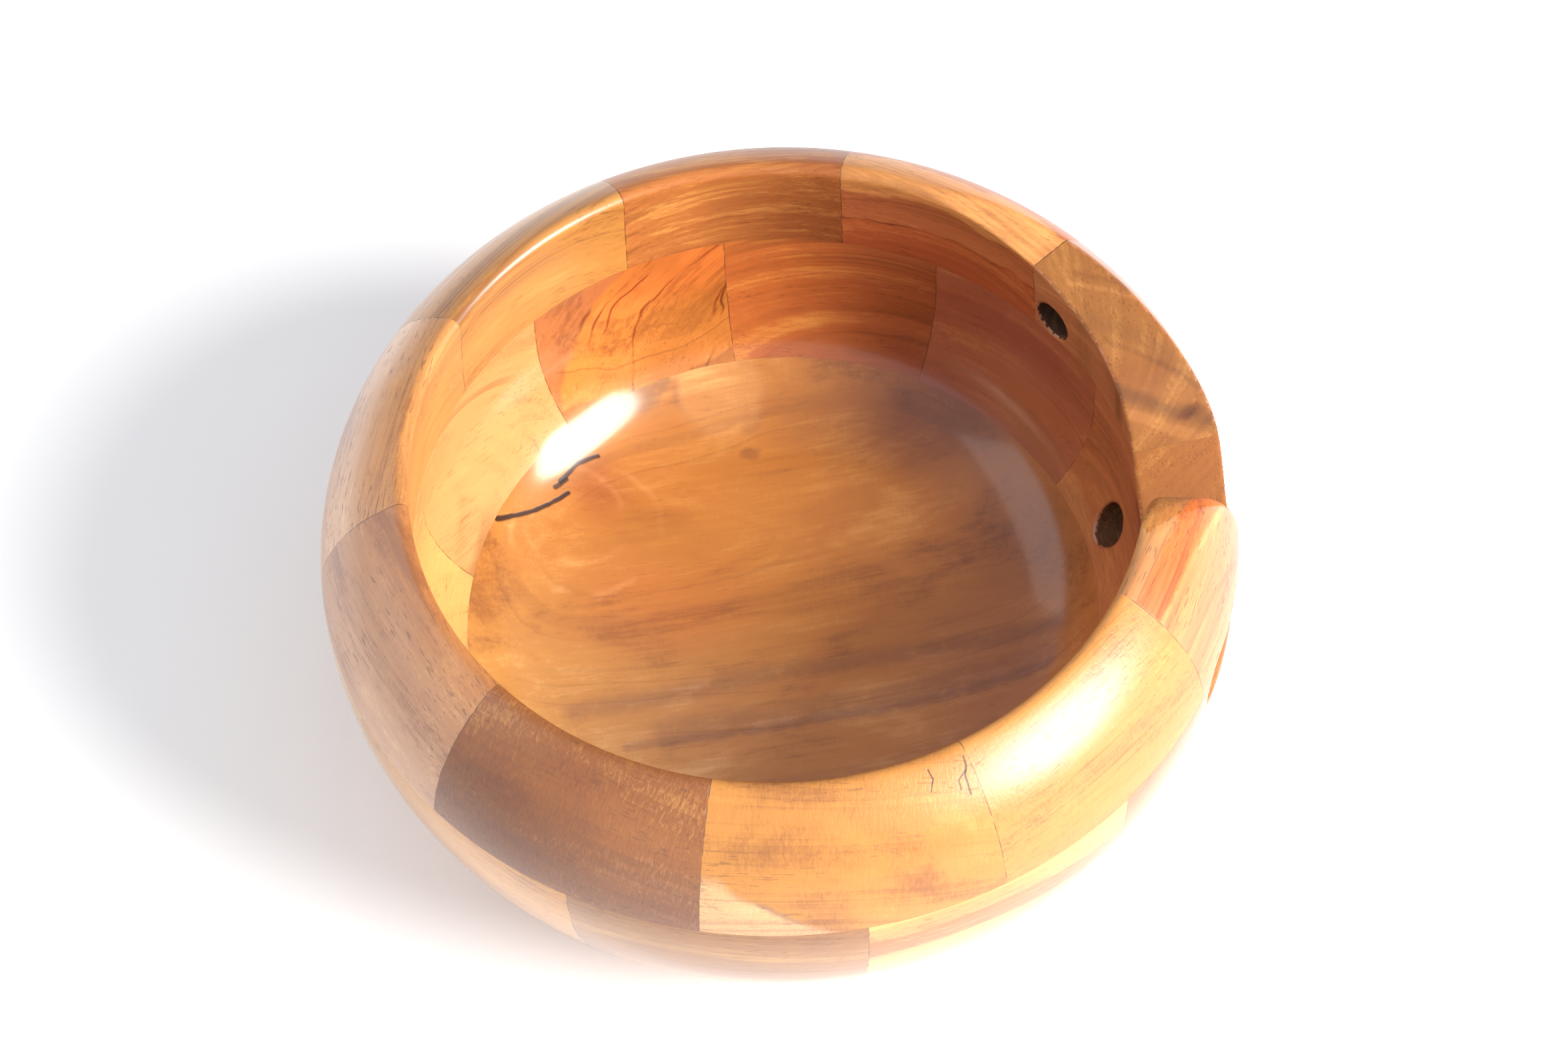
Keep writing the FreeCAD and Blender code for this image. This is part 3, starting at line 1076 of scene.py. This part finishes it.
WALL_BOARDS = [
    dict(tones((140, 76, 57)), pith=(120, 0, -90), Bands=0.35, Rings=0.05, Fibre=0.5),
    dict(
        tones((148, 77, 46)), pith=(110, 0, -90), tilt=(6, 0), Bands=0.5, Rings=0.05, Fibre=0.5,
        Streaks=0.5,
        marks=[
            patch((-8, 59, 38), (22, 30, 26), (194, 108, 52), 0.8, 0.7),
            patch((24, 54, 40), (14, 24, 16), (118, 52, 34), 0.8, 0.5),
        ],
    ),
    dict(
        tones((201, 123, 56), 1.1), pith=(150, 0, 40), tilt=(48, 10), Waviness=17, Bands=0.35,
        Rings=0.12, Streaks=0.4, Blush=0.5,
        marks=[
            patch((6, 50, 20), (44, LONG, 44), (170, 104, 66), 0.02, 0.7, (110, 48, 26), 0.8, 0),
            edge_line((8, 50, 18), (43.5, LONG, 44), 0.01, (124, 46, 20), 0.9),
            edge_line((6, 50, 21), (38, LONG, 38), 0.012, (134, 50, 20), 0.9),
            edge_line((9, 50, 16), (36, LONG, 38), 0.012, (140, 56, 24), 0.8),
            edge_line((14, 50, 16), (28, LONG, 34), 0.014, (140, 56, 24), 0.8),
            edge_line((22, 50, 22), (33, LONG, 33), 0.012, (120, 48, 22), 0.9),
            patch((-16, 50, 46), (14, LONG, 8), (204, 96, 44), 0.6, 0.4),
        ],
    ),
    dict(
        tones((202, 148, 92)), pith=(190, 0, -80), tilt=(-24, 0), Waviness=4, Bands=0.3,
        Rings=0.08, Fibre=0.6, Streaks=0.8, Blush=0.3,
    ),
    dict(tones((202, 158, 94)), pith=(130, 0, -50), tilt=(-10, 0), Blush=0.1),
    dict(tones((188, 134, 76)), pith=(120, 0, -60)),
    dict(tones((146, 100, 58)), pith=(120, 0, -60), Bands=0.6),
    dict(tones((202, 142, 84)), pith=(125, 0, -50), tilt=(4, 0), Bands=0.9, Streaks=0.8, Blush=0.4),
    dict(tones((180, 106, 68)), pith=(120, 0, -60)),
    dict(tones((158, 92, 60)), pith=(115, 0, -50), bare=tones((132, 80, 38), 0.7)),
]
BASE_BOARD = dict(
    tones((180, 114, 47), 1.1), pith=(-30, 0, -25), turn=9, Spacing=5, Waviness=12, Bands=0.2,
    Rings=0.04, Fibre=0.5, Streaks=0.2, Mottle=1.6, Pores=0.25, Ridges=0.25, Blush=0.3,
    marks=[
        patch((-38, -18, 18), (30, 26, 20), (210, 160, 98), 0.9, 0.6),
        patch((26, -34, 18), (46, 24, 20), (204, 142, 84), 0.9, 0.5),
        patch((50, 8, 18), (34, 50, 26), (136, 80, 50), 0.7, 0.55),
        patch((30, 42, 22), (20, 9, 14), (96, 34, 12), 0.8, 0.7),
        patch((50, 20, 20), (14, 16, 12), (122, 68, 36), 0.8, 0.5),
        patch((-20, 8.5, 16), (13, 8, 10), (190, 102, 38), 0.8, 0.4),
        patch((-9, 47.5, 21), (8.5, 6.8, 9), (206, 148, 88), 0.2, 0.4, (130, 78, 42), 0.5),
        edge_line((-33, 23, 19), (13, 13.5, 12), 0.09, (214, 152, 84), 0.3),
        edge_line((-35, 25, 19), (8.5, 9.5, 10), 0.12, (212, 148, 80), 0.3),
        patch((-30.9, 31.6, 19), (4.5, 5, 6), (146, 72, 34), 0.7, 0.55),
        patch((-4.3, 38.1, 17.4), (1.3, 1.05, 3), (130, 80, 44), 0.5, 0.5, (92, 52, 32), 0.6),
        stroke([(-27, -20.2), (17.6, -14.4), (44.5, -8.9)], BAND, 0.2, 1.3, 0.35),
        stroke([(-20, -17.2), (17.6, -12.4), (44.5, -6.9)], BAND, 0.4, 4, 0.3),
        stroke([(-36, -13.3), (0.6, -5.5), (47.1, -1)], BAND, 0.3, 2.8, 0.35),
        stroke([(-24, -34), (20, -25), (34, -20)], BAND, 0.3, 3, 0.2),
        stroke([(-23.5, 46.2), (-19.6, 49.4)], (112, 84, 62), 0.8, 1.8, 0.5),
        stroke([(-48.5, 21.5), (-42.2, 25.3), (-36.4, 29.7)], CRACK, 0.22, 0.35, 0.95, 1.5, 0.35),
        stroke([(-37.7, 31.5), (-34.2, 34.7), (-30.8, 36.3)], CRACK, 0.16, 0.35, 0.95, 1.5, 0.35),
        stroke([(-38.5, 30.3), (-36.6, 32)], CRACK, 0.2, 0.35, 0.9, 1.5, 0.35),
    ],
)


# ================================================================ pieces
def wear(piece, node):
    """Hangs a piece in its CAD node's place."""
    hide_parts(node)
    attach(piece, "root")


def paint_sawn_faces(piece, sawn_finish, bore_shade_finish):
    """Gives a bare finish to the faces that the saw and the drill left inside the turned outline. The
    drilled faces are bare wood painted dark brown, as painted shade inside the holes.
    """
    piece.data.materials.append(sawn_finish)
    piece.data.materials.append(bore_shade_finish)
    centres = np.array([face.center for face in piece.data.polygons]) / MM
    x, y, z = centres.T
    sawn = turned_distance(np.hypot(x, y), z) < -SAWN_DEPTH
    # Faces inside the holes get the dark brown of the painted shade.
    drilled = np.zeros_like(sawn)
    for angle, height in HOLE_ANGLES_AND_HEIGHTS:
        drilled |= sawn & (drill_distance(HOLE_RADIUS, angle, height, x, y, z) > -HOLE_EDGE_ROUND)
    piece.data.polygons.foreach_set("material_index", sawn.astype(np.int32) + drilled)


SLOTTED = ("rim_segment_01", "rim_segment_02", "rim_segment_10", "wall_segment_09", "wall_segment_10")


def make_ring(ring, bottom, top, joints, boards, net):
    """The boards of a ring, each in its own CAD segment's place."""
    for number, board in enumerate(boards, 1):
        start, end = joints[number - 1], joints[number % len(joints)]
        node = "%s_segment_%02d" % (ring, number)
        name = node.replace("segment", "wood")
        board = dict(board, turn=middle_angle(start, end) + 90)
        finish = board.get("finish", "worn" if ring == "rim" else "lacquer")
        made = wood_material(name, board, (start, end), finish)
        if node in SLOTTED:
            piece = cut_segment(name, net, bottom, top, start, end)
            piece.data.materials.append(made)
            sawn = wood_material(name + "_sawn", board, (start, end), "sawn")
            # The drilled faces lose the board's marks and get a dark brown: painted shade inside the holes.
            bore_shade_board = dict(board, bare=PAINTED_BORE_SHADE, marks=())
            drilled = wood_material(name + "_bore_shade", bore_shade_board, (start, end), "sawn")
            paint_sawn_faces(piece, sawn, drilled)
        else:
            piece = swept_segment(name, bottom, top, start, end)
            piece.data.materials.append(made)
        wear(piece, node)


NET = slotted_net()
base = turned_base("base_wood")
base.data.materials.append(wood_material("base_wood", BASE_BOARD, (None, None)))
wear(base, "base_board")
make_ring("wall", BASE_TOP, WALL_TOP, WALL_JOINTS, WALL_BOARDS, NET)
make_ring("rim", WALL_TOP, HEIGHT, RIM_JOINTS, RIM_BOARDS, NET)


# ================================================================ studio
FLOOR_REACH = 2.0
FLOOR_DROP = 0.02
PAPER = ((0.86, 0.86, 0.87, 1), (0.9, 0.9, 0.9, 1))
PAPER_CLOUD_SCALE = 12.0
PAPER_TOOTH_SCALE = 1500.0
PAPER_TOOTH = 0.1


def make_floor():
    """A pale sheet of paper, with a faint tooth."""
    made, t, shader = new_material("pale_paper")
    t.put(shader["Specular IOR Level"], 0.2)
    t.put(shader["Roughness"], 0.8)
    cloud = t.noise(t.vector("SCALE", t.spot(), PAPER_CLOUD_SCALE), 3, 0.6)
    t.put(shader["Base Color"], t.mix(cloud, *PAPER))
    tooth = t.noise(t.vector("SCALE", t.spot(), PAPER_TOOTH_SCALE), 3, 0.6)
    add_bump(t, shader, tooth, 0.1, PAPER_TOOTH)
    bm = bmesh.new()
    bmesh.ops.create_grid(bm, x_segments=8, y_segments=8, size=FLOOR_REACH)
    mesh = bpy.data.meshes.new("floor")
    bm.to_mesh(mesh)
    bm.free()
    mesh.materials.append(made)
    floor = linked("floor", mesh)
    floor.location.z = -FLOOR_DROP * MM


KEY_AZIMUTH = -26.0
KEY_HEIGHT_ANGLE = 33.5
LAMP_DISTANCE = 1.6
KEY_SIZE = (0.92, 0.92)
KEY_POWER = 60.0
KEY_COLOUR = (1.0, 0.97, 0.92)
SKY_COLOUR = (0.92, 0.95, 1.0, 1.0)
SKY_STRENGTH = 0.88
SKY_SIDE = (-0.5, -0.8, -0.3)
SKY_SIDE_STRENGTH = 0.45
PANEL_AZIMUTH = 166.0
PANEL_HEIGHT_ANGLE = 33.0
PANEL_SIZE = (1.3, 1.2)
PANEL_POWER = 6.5


def make_lamp(name, azimuth, height_angle, shape, size, power):
    """A soft lamp that shines at the bowl from an azimuth and a height angle."""
    lamp = bpy.data.lights.new(name, "AREA")
    lamp.shape = shape
    lamp.size, lamp.size_y = size
    lamp.energy = power
    made = linked(name, lamp)
    turn, lift = radians(azimuth), radians(height_angle)
    made.location = Vector((cos(turn) * cos(lift), sin(turn) * cos(lift), sin(lift))) * LAMP_DISTANCE
    made.rotation_euler = made.location.to_track_quat("Z", "Y").to_euler()
    return lamp


def make_lights():
    """One soft sunny light from the right, a faint panel at the left, and a white surround that is
    brighter at the front and the left."""
    key = make_lamp("key", KEY_AZIMUTH, KEY_HEIGHT_ANGLE, "DISK", KEY_SIZE, KEY_POWER)
    key.color = KEY_COLOUR
    make_lamp("panel", PANEL_AZIMUTH, PANEL_HEIGHT_ANGLE, "RECTANGLE", PANEL_SIZE, PANEL_POWER)
    world = bpy.data.worlds.new("surround")
    world.use_nodes = True
    world.node_tree.nodes.clear()
    t = Tree(world.node_tree)
    heading = t.add("ShaderNodeTexCoord").outputs["Generated"]
    side = t.vector("DOT_PRODUCT", heading, SKY_SIDE)
    share = t.math("MULTIPLY_ADD", side, SKY_SIDE_STRENGTH, SKY_STRENGTH)
    sky = t.add("ShaderNodeBackground")
    sky.inputs["Color"].default_value = SKY_COLOUR
    t.put(sky.inputs["Strength"], share)
    t.put(t.add("ShaderNodeOutputWorld").inputs["Surface"], sky.outputs[0])
    bpy.context.scene.world = world


CAMERA_PLACE = (0.0, -363.7, 592.3)
CAMERA_PITCH = 56.06
CAMERA_YAW = 0.13
CAMERA_ROLL = -2.5
CAMERA_LENS = 91.84
CAMERA_SENSOR = 36.0


def make_camera():
    """The camera looks down from the front."""
    lens = bpy.data.cameras.new("camera")
    lens.lens = CAMERA_LENS
    lens.sensor_width = CAMERA_SENSOR
    camera = linked("camera", lens)
    look = Euler((radians(90 - CAMERA_PITCH), 0, radians(-CAMERA_YAW))).to_matrix()
    camera.rotation_euler = (look @ Matrix.Rotation(radians(CAMERA_ROLL), 3, "Z")).to_euler()
    camera.location = Vector(CAMERA_PLACE) * MM
    bpy.context.scene.camera = camera


make_floor()
make_lights()
make_camera()
bpy.context.scene.view_settings.view_transform = "Standard"
